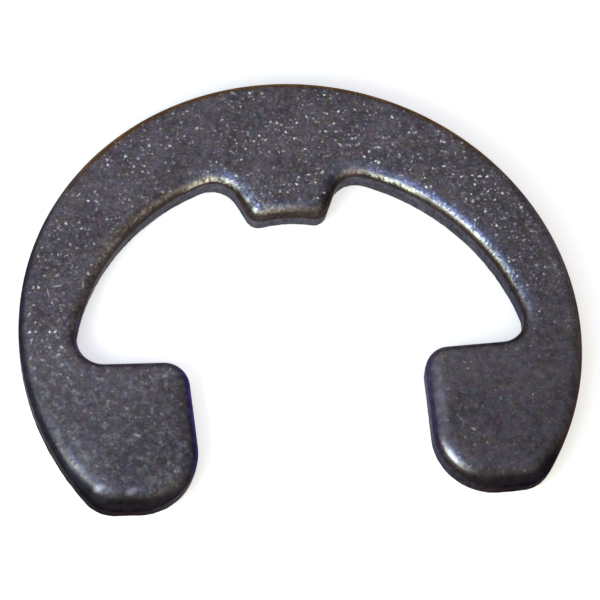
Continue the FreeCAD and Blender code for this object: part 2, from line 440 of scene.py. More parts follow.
def flat_grid(inner, outer, throat):
    """Points of half a flat face: straight lines from the inner side to the outer side, and near the
    throat a share of what its bowed edge adds to the last straight line."""
    drop = np.linalg.norm(throat - throat[0], axis=1)
    row = (drop / drop[-1])[None, :, None]
    grid = inner[:, None] * (1 - row) + outer[:, None] * row
    reach = np.linspace(0, 1, len(inner))
    fade = np.clip((reach - BOW_START) / (1 - BOW_START), 0, 1) ** 2
    return grid + fade[:, None, None] * (throat - grid[-1])


def rolls_along(half, e, stations, total):
    """Width and depth of the rolled edge at these stations, and its shares of toe, of violet film and of
    outside, all passing evenly from stretch to stretch."""
    ends = np.cumsum(half[:, 3])
    starts = ends - half[:, 3]
    runs = dict(zip(RUNS, zip(starts, (starts + ends) / 2, ends)))
    corner = runs["shoulder_corner"][1]
    places = [
        (0.0, e.tip_roll, 0, 0, 0),
        (runs["tip_corner"][2], e.tip_roll, 0, 0, 0),
        (runs["flank"][2], e.arc_roll, 0, 0, 0),
        (runs["arc"][1], e.arc_roll, 0, 0, 0),
        (runs["root"][1], e.arc_roll, 0, 0.7, 0),
        (runs["root"][2], e.shoulder_roll, 0, 0.3, 0),
        (corner - THROAT_CHANGE, e.shoulder_roll, 0, 0.6, 0),
        (corner + THROAT_CHANGE, e.throat_roll, 0, 1, 0),
        (runs["throat"][2], e.throat_roll, 0, 1, 0),
        (runs["toe_corner"][1], e.throat_roll, 0.6, 0.4, 0.5),
        (runs["toe"][0], e.toe_roll, 1, 0, 1),
        (runs["heel"][2], e.toe_roll, 1, 0, 1),
        (runs["heel"][2] + RIM_CHANGE, e.rim_roll, 0, 0, 1),
        (runs["rim"][2], e.rim_roll, 0, 0, 1),
    ]
    at, sizes, *shares = zip(*places)
    widths, depths = zip(*(tuple(size) for size in sizes))
    from_tip = np.minimum(stations, total - stations)
    return [np.interp(from_tip, at, values) for values in (widths, depths, *shares)]


def edge_section(e, width, depth):
    """Rows of the edge from the lower face to the upper one, at each station: how far in, how high,
    how steep, how torn, and 1 on the wall.

    A quarter circle for the tumbled edge, an upright wall whose torn lower part stands back a little,
    and a quarter of a superellipse for the rolled edge, which differs along the outline."""
    quarter = np.linspace(0, math.pi / 2, CELLS_TUMBLED + 1)[:, None]
    up_wall = np.linspace(0, 1, CELLS_WALL + 1)[1:, None]
    up_roll = np.linspace(0, math.pi / 2, CELLS_ROLL + 1)[1:, None]
    along, up = np.cos(up_roll).clip(0, 1), np.sin(up_roll)
    whole = np.ones_like(width)
    wall_top = e.thickness - depth
    heights = np.concatenate([
        e.tumbled * (1 - np.cos(quarter)) * whole,
        e.tumbled + up_wall * (wall_top - e.tumbled),
        wall_top + depth * up ** (2 / e.roll_front)])
    torn = np.clip((e.fracture_top - heights) / FRACTURE_CHANGE, 0, 1)
    torn = torn * torn * (3 - 2 * torn)
    set_in = np.concatenate([
        e.tumbled * (1 - np.sin(quarter)) * whole, 0 * up_wall * whole, 0 * up_roll * whole])
    rolled = np.concatenate([
        0 * quarter * whole, 0 * up_wall * whole, width * (1 - along ** (2 / e.roll_top))])
    rise = depth / e.roll_front * up ** (2 / e.roll_front - 1) * along
    run = width / e.roll_top * np.maximum(along, 1e-6) ** (2 / e.roll_top - 1) * up
    steep = np.concatenate([
        np.sin(quarter) * whole, 0 * up_wall + whole, np.arctan2(rise, run) / (math.pi / 2)])
    wall = np.concatenate([0 * quarter + whole, 0 * up_wall + whole, 0 * up_roll * whole])
    return set_in + e.fracture_set_in * torn, heights, rolled, steep, torn, wall


def ripples(points, width, seed):
    """Smooth unevenness between about -1 and 1: a sum of plane waves of random direction and phase,
    with wavelengths from half to twice the width."""
    draw = np.random.default_rng(seed)
    ways = draw.normal(size=(PLANE_WAVES, 3))
    ways /= np.linalg.norm(ways, axis=1, keepdims=True)
    waves = 2 * math.pi / (width * 2 ** draw.uniform(-1, 1, PLANE_WAVES))
    phases = draw.uniform(0, 2 * math.pi, PLANE_WAVES)
    return np.sin(points @ (ways * waves[:, None]).T + phases).sum(axis=-1) / math.sqrt(PLANE_WAVES)


def quads(rows):
    """Four-cornered faces between neighbouring rows and columns of a table of vertex numbers."""
    return np.stack([rows[:-1, :-1], rows[:-1, 1:], rows[1:, 1:], rows[1:, :-1]], axis=-1).reshape(-1, 4)


def ring_mesh(o, e):
    """Vertices, faces and edge attributes of the whole ring.

    Two flat grids lie face to face, and the edge is a section carried along the closed outline. Their
    borders are shared, so the surface is closed."""
    half = half_chain(o)
    chain = whole_chain(half)
    total = chain[:, 3].sum()
    inner, outer, throat = strip_stations(chain, half)

    def inset(stations, distance, spread):
        """The outline, moved into the metal by a distance."""
        points, _ = walk(chain, stations)
        return points + np.reshape(distance, (-1, 1)) * inward(chain, stations, spread)

    def face(reach, spread):
        """Flat grid of a whole face, which ends at a reach from the outline."""
        right = flat_grid(*(inset(side, reach(side), spread) for side in (inner, outer, throat)))
        left = right[:0:-1] * np.array([-1, 1])
        return np.concatenate([left, right])

    upper = face(lambda side: rolls_along(half, e, side, total)[0], 2 * INWARD_SPREAD)
    lower = face(lambda side: e.tumbled + e.fracture_set_in, INWARD_SPREAD)
    columns, rows = upper.shape[:2]
    number = np.arange(columns * rows).reshape(columns, rows)
    middle = columns // 2

    # Border of a grid in the order of the outline: tip, right throat, crown, left throat
    border = np.concatenate([
        number[middle:, 0], number[-1, 1:-1], number[::-1, -1], number[0, -2:0:-1], number[:middle, 0]])
    half_stations = np.concatenate([inner, throat[1:-1], outer[::-1]])
    stations = np.concatenate([half_stations, (total - half_stations[::-1])[1:-1]])

    width, depth, *shares = rolls_along(half, e, stations, total)
    set_in, heights, rolled, steep, torn, wall = (row[1:-1] for row in edge_section(e, width, depth))
    outline, _ = walk(chain, stations)
    close = inward(chain, stations, INWARD_SPREAD)
    wide = inward(chain, stations, 2 * INWARD_SPREAD)
    band = np.concatenate([
        outline + set_in[:, :, None] * close + rolled[:, :, None] * wide, heights[:, :, None]], axis=2)

    def at_height(grid, height):
        """The points of a grid, level at this height."""
        return np.concatenate([grid.reshape(-1, 2), np.full((columns * rows, 1), height)], axis=1)

    # Tumbling leaves the faces a little uneven, and shearing tears the lower wall
    upper = at_height(upper, e.thickness)
    lower = at_height(lower, 0.0)
    for grid, seed, side in ((upper, UPPER_SEED, -1), (lower, LOWER_SEED, 1)):
        grid[:, 2] += side * e.face_wave * (1 + ripples(grid, FACE_WAVE_WIDTH, seed)).clip(0, 2)
    band_points = band.reshape(-1, 3)
    tear = 1 + ripples(band_points * np.array([1, 1, TEAR_UPRIGHT]), TEAR_WIDTH, TEAR_SEED)
    tear = e.fracture_wave * torn.ravel() * tear.clip(0, 2)
    band_points[:, :2] += np.tile(close, (len(heights), 1)) * tear[:, None]

    vertices = np.concatenate([upper, lower, band_points])
    below = len(upper)
    edge_rows = below + len(lower) + np.arange(len(band_points)).reshape(heights.shape)
    edge_table = np.concatenate([(below + border)[None], edge_rows, border[None]])
    edge_table = np.concatenate([edge_table, edge_table[:, :1]], axis=1)
    top_faces = quads(number)[:, ::-1]
    faces = np.concatenate([top_faces, below + top_faces[:, ::-1], quads(edge_table)])

    # Marks for the finish: how steep and how torn, and 1 on the wall, on the toes and heels, where a
    # violet film shows, and on the outside
    flat = np.zeros(below + len(lower))
    marks = {name: np.concatenate([flat, values.ravel()])
             for name, values in (("steep", steep), ("torn", torn), ("wall", wall))}
    for name, values in zip(("toe", "film", "outside"), shares):
        marks[name] = np.concatenate([flat, np.tile(values, len(heights))])
        for offset in (0, below):
            marks[name][offset + border] = values
    return vertices, faces, marks


def new_object(name, vertices, faces, marks, material):
    """Mesh object at the origin, smooth, with one value per vertex for each mark."""
    mesh = bpy.data.meshes.new(name)
    mesh.vertices.add(len(vertices))
    mesh.vertices.foreach_set("co", vertices.astype(np.float32).ravel())
    mesh.loops.add(faces.size)
    mesh.loops.foreach_set("vertex_index", faces.astype(np.int32).ravel())
    mesh.polygons.add(len(faces))
    mesh.polygons.foreach_set("loop_start", np.arange(0, faces.size, faces.shape[1], dtype=np.int32))
    mesh.polygons.foreach_set("use_smooth", np.ones(len(faces), dtype=bool))
    mesh.update(calc_edges=True)
    mesh.validate()
    for mark, values in marks.items():
        attribute = mesh.attributes.new(mark, "FLOAT", "POINT")
        attribute.data.foreach_set("value", values.astype(np.float32))
    mesh.materials.append(material)
    piece = bpy.data.objects.new(name, mesh)
    bpy.context.scene.collection.objects.link(piece)
    return piece


# Finish

# Settings that many nodes share
SMOOTH = {"interpolation_type": "SMOOTHSTEP"}
BLEND = {"data_type": "RGBA"}
TIMES = {"operation": "MULTIPLY"}
PLUS = {"operation": "ADD"}
MINUS = {"operation": "SUBTRACT"}


def add_node(tree, kind, sockets=(), **settings):
    """One node with its settings. Its live sockets, in order or by name, are each given a value, an
    output to link, or a node, whose first live output is linked."""
    node = tree.nodes.new("ShaderNode" + kind)
    for key, value in settings.items():
        setattr(node, key, value)
    live = [socket for socket in node.inputs if socket.enabled]
    for key, value in sockets.items() if isinstance(sockets, dict) else enumerate(sockets):
        socket = live[key] if isinstance(key, int) else next(item for item in live if item.name == key)
        if isinstance(value, bpy.types.Node):
            value = next(output for output in value.outputs if output.enabled)
        if isinstance(value, bpy.types.NodeSocket):
            tree.links.new(value, socket)
        elif socket.type == "RGBA":
            socket.default_value = (*value, 1.0)
        else:
            socket.default_value = value
    return node


def new_material(name):
    """Empty material and its node tree."""
    material = bpy.data.materials.new(name)
    material.use_nodes = True
    material.node_tree.nodes.clear()
    return material, material.node_tree


# Widths of the coat's patches and clouds, of the clusters of specks, of the clouds that are rubbed thin
# and of the wall's streaks
HUE_PATCH = 0.4 * MM
BROAD_CLOUD = 1.6 * MM
CLUSTER = 1.2 * MM
RUBBED_CLOUD = 0.28 * MM
STREAK = 0.12 * MM

# Depths of the dimples that tumbling leaves and of the wall's streaks
DIMPLE_DEPTH = 0.004 * MM
STREAK_DEPTH = 0.01 * MM

# From and to along X where the left prong ends, where the left limb's inner arc ends, where the left
# rim's lip passes into the crown's, where the film weakens, and where the right prong starts
LEFT_PRONG_END = (-5.0 * MM, -3.5 * MM)
LEFT_ARC_END = (-4.4 * MM, -3.4 * MM)
LEFT_RIM_END = (-7.0 * MM, -3.0 * MM)
FILM_WEAKENS = (-2.0 * MM, 2.0 * MM)
RIGHT_PRONG_START = (0.0 * MM, 2.0 * MM)

# From and to along Y where the prongs end and where the crown starts
PRONGS_END = (-1.5 * MM, 1.5 * MM)
CROWN_START = (4.5 * MM, 8.0 * MM)

# Steepness of the rolled edge, 0 on the face and 1 at the wall, from and to where the face ends, where
# the tinge comes in, where it turns from cool to warm, and where it does so inside the left limb
FACE_END = (0.1, 0.5)
TINGE = (0.0, 0.14)
BROW = (0.36, 0.6)
LEFT_BROW = (0.0, 0.24)

# The same where the coat darkens into the lip, and where it does so on the outside, under the film and
# on the toes, where the crown's rim turns brown, and where the painted shade of the centre prong's right
# flank comes in
LIP = (0.42, 0.72)
OUTER_LIP = (0.3, 0.6)
FILM_LIP = (0.2, 0.5)
TOE_LIP = (0.0, 0.5)
CROWN_LIP = (0.1, 0.4)
FLANK_SHADE_STEEP = (0.02, 0.3)

# Levels of the coat's shade, darker on the prongs and on the right limb: axis, from and to in
# millimetres, and level at either end
DARKER = [
    ("y", -4.5, -0.5, 0.76, 1.0),
    ("x", 5.0, 9.0, 1.0, 0.9),
]

# Levels of the specks, in the same terms
FEWER = [
    ("x", -4.0, 1.0, 0.78, 1.05),
    ("x", 7.5, 9.5, 1.0, 0.55),
    ("y", -2.5, 0.5, 0.35, 1.0),
]

# Layers of specks: gap and size as shares of the speck gap and the speck size, the share of cells that
# hold a speck, and strength
SPECKS = [
    (1.0, 1.0, 0.6, 1.0),
    (0.55, 0.8, 0.6, 0.45),
    (0.4, 1.0, 0.5, 0.1),
]

# Scratches and nicks of the face, and two painted highlights, in millimetres and degrees: x, y,
# length, width, turn, strength
SCRATCHES_AND_HIGHLIGHTS = [
    (-8.70, 2.10, 0.50, 0.09, 8.0, 0.5),
    (-9.05, 1.85, 0.60, 0.08, 98.0, 0.35),
    (8.98, 3.30, 0.34, 0.10, -40.0, 0.22),
    (5.60, -4.42, 0.26, 0.12, -40.0, 0.4),
    (5.25, -4.05, 0.50, 0.16, -50.0, 0.12),
    (-7.78, 2.13, 0.40, 0.10, 80.0, 0.45),
    (-6.37, -3.89, 0.36, 0.12, -20.0, 0.42),
    (-5.50, -3.85, 0.60, 0.12, 10.0, 0.12),
    (-8.68, 2.52, 0.24, 0.11, 30.0, 0.45),
    # The last two are broad painted highlights on the left prong's toe, drawn like scratches
    (-7.80, -5.75, 0.60, 0.34, 15.0, 0.22),
    (-6.75, -5.98, 0.64, 0.30, 20.0, 0.18),
]

# Painted highlights: stretches of the rolled edge painted bright where highlights fall, in the same
# terms, and between which steepness they lie
PAINTED_HIGHLIGHTS = [
    (-2.95, 6.05, 2.60, 1.60, -15.0, 1.0, 0.46, 0.72),
    (-1.40, 5.10, 2.60, 1.80, -55.0, 0.55, 0.0, 0.5),
    (-0.45, 4.70, 2.40, 1.20, 0.0, 0.25, 0.3, 0.6),
    (3.90, 5.80, 3.60, 1.80, -16.0, 0.7, 0.42, 0.66),
    (7.20, 2.10, 6.80, 2.60, -58.0, 0.6, 0.28, 0.56),
    (-6.50, 3.25, 6.00, 1.80, 53.0, 0.3, 0.02, 0.5),
    (4.62, -3.50, 4.20, 1.80, 88.0, 0.1, 0.12, 0.5),
    (4.76, -5.22, 2.10, 1.20, -58.0, 0.55, 0.27, 0.45),
    (-8.45, -4.80, 5.00, 2.20, -64.0, 0.15, -0.06, 0.32),
]

# Painted shade on the centre prong's right flank, dark brown in the lip's colour, in the terms of the
# scratches
SHADED_FLANK = [
    (1.45, 5.30, 2.60, 1.40, 64.0, 0.65),
    (0.95, 4.75, 1.60, 0.80, 0.0, 0.5),
]

# Shares: film left on the right, tinge at its fullest, specks that the right prong lacks, how far the
# crystals fade on the prongs, painted highlight on the keenest crystal, how soon in steepness a painted
# highlight fades, and chance colour in a speck
RIGHT_FILM = 0.62
FULL_TINGE = 0.45
RIGHT_PRONG_LACKS = 0.5
PRONG_CALM = 0.5
KEENEST = 1.8
HIGHLIGHT_FADE = 0.08
SPECK_HUE = 0.12

# How the gloss differs: roughness of the clouds, of the torn wall and of the toes, metal in a speck, and
# the tint of the reflection at a grazing angle, where the coat is dull
CLOUD_ROUGHER = 0.04
TORN_ROUGHER = 0.2
TOE_ROUGHER = 0.1
SPECK_METAL = 0.3
GRAZING_TINT = (0.42, 0.42, 0.42)


def oval(tree, place, middle_x, middle_y, long, wide, degrees, strength, start):
    """Soft oval on the face, full out to a start given as a share of its reach."""
    within = add_node(tree, "Mapping", {
        "Vector": place, "Location": (middle_x * MM, middle_y * MM, 0.0),
        "Rotation": (0.0, 0.0, math.radians(degrees)),
        "Scale": (long / 2 * MM, wide / 2 * MM, 1.0)}, vector_type="TEXTURE")
    reach = add_node(tree, "VectorMath", (within,), operation="LENGTH")
    return add_node(tree, "MapRange", (reach, start, 1.1, strength, 0.0), **SMOOTH)


def dots(tree, place, gap_width, size, share, strength):
    """Dots of one size at the heart of a share of the cells of one width, of differing strength."""
    cells = add_node(
        tree, "TexVoronoi", {"Vector": place, "Scale": 1 / gap_width}, voronoi_dimensions="2D")
    _, chance, vigour = add_node(tree, "SeparateXYZ", (cells.outputs["Color"],)).outputs
    vigour = add_node(tree, "MapRange", (vigour, 0.0, 1.0, 0.3 * strength, strength), **SMOOTH)
    reach = size / 2 / gap_width
    dot = add_node(tree, "MapRange", (cells, 0.6 * reach, 1.4 * reach, 1.0, 0.0), **SMOOTH)
    chosen = add_node(tree, "Math", (chance, share), operation="LESS_THAN")
    dot = add_node(tree, "Math", (dot, chosen), **TIMES)
    return add_node(tree, "Math", (dot, vigour), **TIMES)


def levelled(tree, at, value, levels):
    """The value, times a level for each row: axis, from and to in millimetres, and level at either end."""
    for axis, low, high, start, end in levels:
        level = add_node(tree, "MapRange", (getattr(at, axis), low * MM, high * MM, start, end), **SMOOTH)
        value = add_node(tree, "Math", (value, level), **TIMES)
    return value


def places(tree):
    """What the patterns read: where a point lies, how it is marked, and shares that are 1 on the prongs,
    on the face, and from the brow of the rolled edge down."""
    place = add_node(tree, "TexCoord").outputs["Object"]
    x, y, _ = add_node(tree, "SeparateXYZ", (place,)).outputs
    steep, torn, wall, outside, toe, film = (
        add_node(tree, "Attribute", attribute_name=name).outputs["Fac"]
        for name in ("steep", "torn", "wall", "outside", "toe", "film"))
    weaker = add_node(tree, "MapRange", (x, *FILM_WEAKENS, 1.0, RIGHT_FILM), **SMOOTH)
    brow = add_node(tree, "Mix", (
        add_node(tree, "MapRange", (x, *LEFT_ARC_END, 1.0, 0.0), **SMOOTH),
        add_node(tree, "MapRange", (steep, *BROW), **SMOOTH),
        add_node(tree, "MapRange", (steep, *LEFT_BROW), **SMOOTH)))
    return SimpleNamespace(
        place=place, x=x, y=y, steep=steep, torn=torn, wall=wall, outside=outside, toe=toe, brow=brow,
        film=add_node(tree, "Math", (film, weaker), **TIMES),
        prongs=add_node(tree, "MapRange", (y, *PRONGS_END, 1.0, 0.0), **SMOOTH),
        face=add_node(tree, "MapRange", (steep, *FACE_END, 1.0, 0.0), **SMOOTH))


def cloudy_coat(tree, f, at):
    """Colour, shade and clouds of the coat: violet, blue-grey and olive patches, lighter and darker
    clouds of two widths, and small clouds on the left prong where it is rubbed thin. It is darker on the
    prongs and on the right limb."""
    clouds = add_node(tree, "TexNoise", {
        "Vector": at.place, "Scale": 1 / f.mottle, "Detail": 3.0, "Roughness": 0.6})
    broad = add_node(tree, "TexNoise", {
        "Vector": at.place, "Scale": 1 / BROAD_CLOUD, "Detail": 1.0, "Roughness": 0.6})
    hues = add_node(tree, "TexNoise", {"Vector": at.place, "Scale": 1 / HUE_PATCH, "Detail": 1.0})
    first, second, _ = add_node(tree, "SeparateXYZ", (hues.outputs["Color"],)).outputs
    thin = add_node(tree, "MapRange", (first, 0.44, 0.56), **SMOOTH)
    oiled = add_node(tree, "MapRange", (second, 0.5, 0.62, 0.0, 0.8), **SMOOTH)
    base = add_node(tree, "Mix", (thin, f.steel, f.steel_thin), **BLEND)
    base = add_node(tree, "Mix", (oiled, base, f.steel_oiled), **BLEND)

    rubs = add_node(tree, "TexNoise", {
        "Vector": at.place, "Scale": 1 / RUBBED_CLOUD, "Detail": 2.0, "Roughness": 0.6})
    rubbed = add_node(tree, "MapRange", (rubs, 0.5, 0.72, 0.0, 0.56), **SMOOTH)
    left = add_node(tree, "MapRange", (at.x, *LEFT_PRONG_END, 1.0, 0.0), **SMOOTH)
    for share in (left, at.prongs, at.face):
        rubbed = add_node(tree, "Math", (rubbed, share), **TIMES)
    base = add_node(tree, "Mix", (rubbed, base, f.rubbed), **BLEND)

    shade = add_node(tree, "Math", (
        add_node(tree, "MapRange", (clouds, 0.3, 0.7, 0.76, 1.2), **SMOOTH),
        add_node(tree, "MapRange", (broad, 0.38, 0.62, -0.1, 0.1), **SMOOTH)), **PLUS)
    return base, levelled(tree, at, shade, DARKER), clouds


def crystals(tree, f, at):
    """Shade, tilt, keenness and chance colour of the coat's crystals. They are drawn two or three pixels
    wide, because real ones of 5 to 20 microns would not show, and are calmer on the prongs. A crystal
    tilts by the product of its chance colour and the way from its heart."""
    cells = add_node(tree, "TexVoronoi", {"Vector": at.place, "Scale": 1 / f.grain})
    lighter, _, keenness = add_node(tree, "SeparateXYZ", (cells.outputs["Color"],)).outputs
    lean = add_node(tree, "VectorMath", (cells.outputs["Color"], (0.5, 0.5, 0.5)), **MINUS)
    arm = add_node(tree, "VectorMath", (at.place, cells.outputs["Position"]), **MINUS)
    tilt = add_node(tree, "VectorMath", (lean, arm), operation="DOT_PRODUCT")
    fine = add_node(tree, "TexNoise", {
        "Vector": at.place, "Scale": 1 / (1.2 * f.grain), "Detail": 1.0, "Roughness": 0.6})
    grain = add_node(tree, "Math", (
        add_node(tree, "MapRange", (lighter, 0.0, 1.0, 0.9, 1.1), **SMOOTH),
        add_node(tree, "MapRange", (fine, 0.25, 0.75, 0.8, 1.2), **SMOOTH)), **TIMES)
    calm = add_node(tree, "Math", (at.prongs, PRONG_CALM), **TIMES)
    return add_node(tree, "Mix", (calm, grain, 1.0)), tilt, keenness, cells.outputs["Color"]


def glints(tree, f, at):
    """Share of painted white: ragged specks, which are bare points of the coat and painted glints, and the
    scratches. Bright specks are sparse and faint ones closer. They crowd in clusters, thin out on the
    prongs, most of all on the right one, at the right of the rim and on the left, and stay off the rolled
    edge."""
    warp = add_node(tree, "TexNoise", {"Vector": at.place, "Scale": 1 / (1.3 * f.speck_size)})
    warped = add_node(tree, "VectorMath", (
        warp.outputs["Color"], (2 * f.speck_size,) * 3, at.place), operation="MULTIPLY_ADD")
    glint, *fainter = (
        dots(tree, warped, gap_share * f.speck_gap, size_share * f.speck_size, cells, strength)
        for gap_share, size_share, cells, strength in SPECKS)
    for layer in fainter:
        glint = add_node(tree, "Math", (glint, layer), **PLUS)
    glint = levelled(tree, at, glint, FEWER)
    clusters = add_node(tree, "TexNoise", {
        "Vector": at.place, "Scale": 1 / CLUSTER, "Detail": 2.0, "Roughness": 0.6})
    crowded = add_node(tree, "MapRange", (clusters, 0.36, 0.6, 0.3, 1.15), **SMOOTH)
    right = add_node(tree, "MapRange", (at.x, *RIGHT_PRONG_START, 0.0, RIGHT_PRONG_LACKS), **SMOOTH)
    lacking = add_node(tree, "Math", (at.prongs, right), **TIMES)
    for share in (crowded, at.face, add_node(tree, "Math", (1.0, lacking), **MINUS)):
        glint = add_node(tree, "Math", (glint, share), **TIMES)
    for values in SCRATCHES_AND_HIGHLIGHTS:
        scratch_and_highlight = oval(tree, at.place, *values, 0.2)
        glint = add_node(tree, "Math", (glint, scratch_and_highlight), operation="MAXIMUM")
    return glint


def wall_streaks(tree, at):
    """Upright streaks that the punch leaves on the wall, lighter and darker around 0."""
    tall = add_node(tree, "Mapping", {"Vector": at.place, "Scale": (1.0, 1.0, 0.12)})
    streaks = add_node(tree, "TexNoise", {
        "Vector": tall, "Scale": 1 / STREAK, "Detail": 2.0, "Roughness": 0.6})
    centred = add_node(tree, "Math", (streaks, 0.5), **MINUS)
    return add_node(tree, "Math", (centred, at.wall), **TIMES)


def rolled_edge(tree, f, at, base):
    """The coat's colour, changed along the rolled edge. Inside the ring it is bluish where it leaves the
    face and brownish above the wall. It darkens down the roll, from higher up on the outside, under the
    film and on the toes, and the crown's rim turns brown."""
    edge = add_node(tree, "Mix", (at.brow, f.edge_cool, f.edge_warm), **BLEND)
    tinged = add_node(tree, "MapRange", (at.steep, *TINGE, 0.0, FULL_TINGE), **SMOOTH)
    for share in (at.outside, at.prongs):
        rest = add_node(tree, "Math", (1.0, share), **MINUS)
        tinged = add_node(tree, "Math", (tinged, rest), **TIMES)
    base = add_node(tree, "Mix", (tinged, base, edge), **BLEND)

    past_left = add_node(tree, "MapRange", (at.x, *LEFT_RIM_END), **SMOOTH)
    outer_lip = add_node(tree, "Mix", (past_left, f.left_lip, f.outer_lip), **BLEND)
    lip = add_node(tree, "Mix", (at.outside, f.lip, outer_lip), **BLEND)
    filmed = add_node(tree, "MapRange", (at.film, 0.35, 0.9), **SMOOTH)
    lip = add_node(tree, "Mix", (filmed, lip, f.film), **BLEND)
    lip = add_node(tree, "Mix", (at.toe, lip, f.toe_lip), **BLEND)
    down = add_node(tree, "MapRange", (at.steep, *LIP), **SMOOTH)
    for share, bounds in ((at.outside, OUTER_LIP), (at.film, FILM_LIP), (at.toe, TOE_LIP)):
        sooner = add_node(tree, "MapRange", (at.steep, *bounds), **SMOOTH)
        down = add_node(tree, "Mix", (share, down, sooner))
    base = add_node(tree, "Mix", (down, base, lip), **BLEND)

    brown = add_node(tree, "MapRange", (at.steep, *CROWN_LIP), **SMOOTH)
    brown = add_node(tree, "Math", (at.outside, brown), **TIMES)
    crown = add_node(tree, "MapRange", (at.y, *CROWN_START), **SMOOTH)
    brown = add_node(tree, "Math", (brown, crown), **TIMES)
    return add_node(tree, "Mix", (brown, base, f.crown_lip), **BLEND)


def highlights_and_flank_shade(tree, f, at, base, keenness):
    """The colour with painted highlights on stretches of the rolled edge, grainy as the crystals are and
    smooth on the prongs, and with painted shade on the centre prong's right flank."""
    highlight_colour = add_node(tree, "Mix", (at.brow, f.highlight_cool, f.highlight_warm), **BLEND)
    highlight_colour = add_node(tree, "Mix", (at.prongs, highlight_colour, f.speck), **BLEND)
    sparkle = add_node(tree, "MapRange", (keenness, 0.0, 1.0, 0.0, KEENEST), **SMOOTH)
    sparkle = add_node(tree, "Mix", (at.prongs, sparkle, 1.0))
    for *values, low, high in PAINTED_HIGHLIGHTS:
        upper, lower = (
            add_node(tree, "MapRange", (at.steep, bound - HIGHLIGHT_FADE, bound + HIGHLIGHT_FADE), **SMOOTH)
            for bound in (low, high))
        crest = add_node(tree, "Math", (upper, lower), **MINUS)
        for share in (sparkle, oval(tree, at.place, *values, 0.0)):
            crest = add_node(tree, "Math", (crest, share), **TIMES)
        base = add_node(tree, "Mix", (crest, base, highlight_colour), **BLEND)
    # Painted shade: the centre prong's right flank is darkened in the lip's colour
    brown = add_node(tree, "MapRange", (at.steep, *FLANK_SHADE_STEEP), **SMOOTH)
    for values in SHADED_FLANK:
        flank_shade = add_node(tree, "Math", (brown, oval(tree, at.place, *values, 0.1)), **TIMES)
        base = add_node(tree, "Mix", (flank_shade, base, f.lip), **BLEND)
    return base


def phosphated_spring_steel(f):
    """Spring steel, tumbled and phosphated.

    To the eye it is a dark, faintly violet metal with a fine sparkle: crystals of the coat tilt the
    surface a few degrees each, some points are painted white, as bare points of the coat and as painted
    glints, and the coat clouds over fractions of a millimetre. Its edges carry painted highlights in
    places. The sheared wall and the lip above it are darker, most of all on the outside, where the wall's
    dark colour is painted shade."""
    material, tree = new_material(SLOT)
    at = places(tree)
    base, shade, clouds = cloudy_coat(tree, f, at)
    grain, tilt, keenness, chance_colour = crystals(tree, f, at)
    glint = glints(tree, f, at)
    streaks = wall_streaks(tree, at)
    base = rolled_edge(tree, f, at, base)
    base = highlights_and_flank_shade(tree, f, at, base, keenness)

    # The wall is grey inside the ring and filmed near the throat. Its dark colour on the outside is painted
    # shade, standing in for the reflection of the shaded floor at its foot
    filmed = add_node(tree, "MapRange", (at.film, 0.1, 0.5), **SMOOTH)
    sheared = add_node(tree, "Mix", (filmed, f.wall, f.wall_film), **BLEND)
    sheared = add_node(tree, "Mix", (at.outside, sheared, f.outer_wall), **BLEND)
    base = add_node(tree, "Mix", (at.wall, base, sheared), **BLEND)

    shade = add_node(tree, "Math", (shade, grain), **TIMES)
    shade = add_node(tree, "Math", (shade, streaks), **PLUS)
    shaded = add_node(tree, "VectorMath", (base, shade), operation="SCALE")
    speck = add_node(tree, "Mix", (SPECK_HUE, f.speck, chance_colour), **BLEND)
    painted = add_node(tree, "Mix", (glint, shaded, speck), **BLEND)

    # The coat is rougher where it is thick, on the toes and heels, and where the wall is torn
    roughness = add_node(tree, "MapRange", (
        clouds, 0.3, 0.7, f.roughness - CLOUD_ROUGHER, f.roughness + CLOUD_ROUGHER), **SMOOTH)
    for mark, gain in ((at.torn, TORN_ROUGHER), (at.toe, TOE_ROUGHER)):
        rougher = add_node(tree, "Math", (mark, gain), **TIMES)
        roughness = add_node(tree, "Math", (roughness, rougher), **PLUS)
    metallic = add_node(tree, "MapRange", (glint, 0.0, 1.0, 1.0, SPECK_METAL))

    # Relief: facets of the crystals, soft dimples from tumbling, and the streaks of the wall
    relief = add_node(tree, "Math", (tilt, f.grain_tilt), **TIMES)
    for pattern, depth in ((clouds, DIMPLE_DEPTH), (streaks, STREAK_DEPTH)):
        raised = add_node(tree, "Math", (pattern, depth), **TIMES)
        relief = add_node(tree, "Math", (relief, raised), **PLUS)
    bump = add_node(tree, "Bump", {"Height": relief, "Distance": 1.0, "Strength": 1.0})

    shader = add_node(tree, "BsdfPrincipled", {
        "Base Color": painted, "Metallic": metallic, "Roughness": roughness, "Normal": bump,
        "Specular Tint": GRAZING_TINT})
    add_node(tree, "OutputMaterial", {"Surface": shader})
    return material


def pale_floor(s):
    """Matt white floor. It is lit like the rest, so the ring's shadow stays, and what the camera and
    reflections see of it is lifted to white."""
    material, tree = new_material("pale_floor")
    path = add_node(tree, "LightPath")
    seen = path.outputs["Is Camera Ray"]
    for ray in ("Is Glossy Ray", "Is Transmission Ray"):
        seen = add_node(tree, "Math", (seen, path.outputs[ray]), operation="MAXIMUM")
    lift = add_node(tree, "Math", (seen, s.floor_lift), **TIMES)
    matt = add_node(tree, "BsdfDiffuse", {"Color": s.floor})
    glow = add_node(tree, "Emission", {"Color": (1.0, 1.0, 1.0), "Strength": lift})
    both = add_node(tree, "AddShader", (matt, glow))
    add_node(tree, "OutputMaterial", {"Surface": both})
    return material


# Stage

def toward(azimuth, elevation):
    """Unit vector from the ring towards a place given by its angles round from +X and above the floor."""
    return Vector((math.cos(azimuth) * math.cos(elevation), math.sin(azimuth) * math.cos(elevation),
                   math.sin(elevation)))


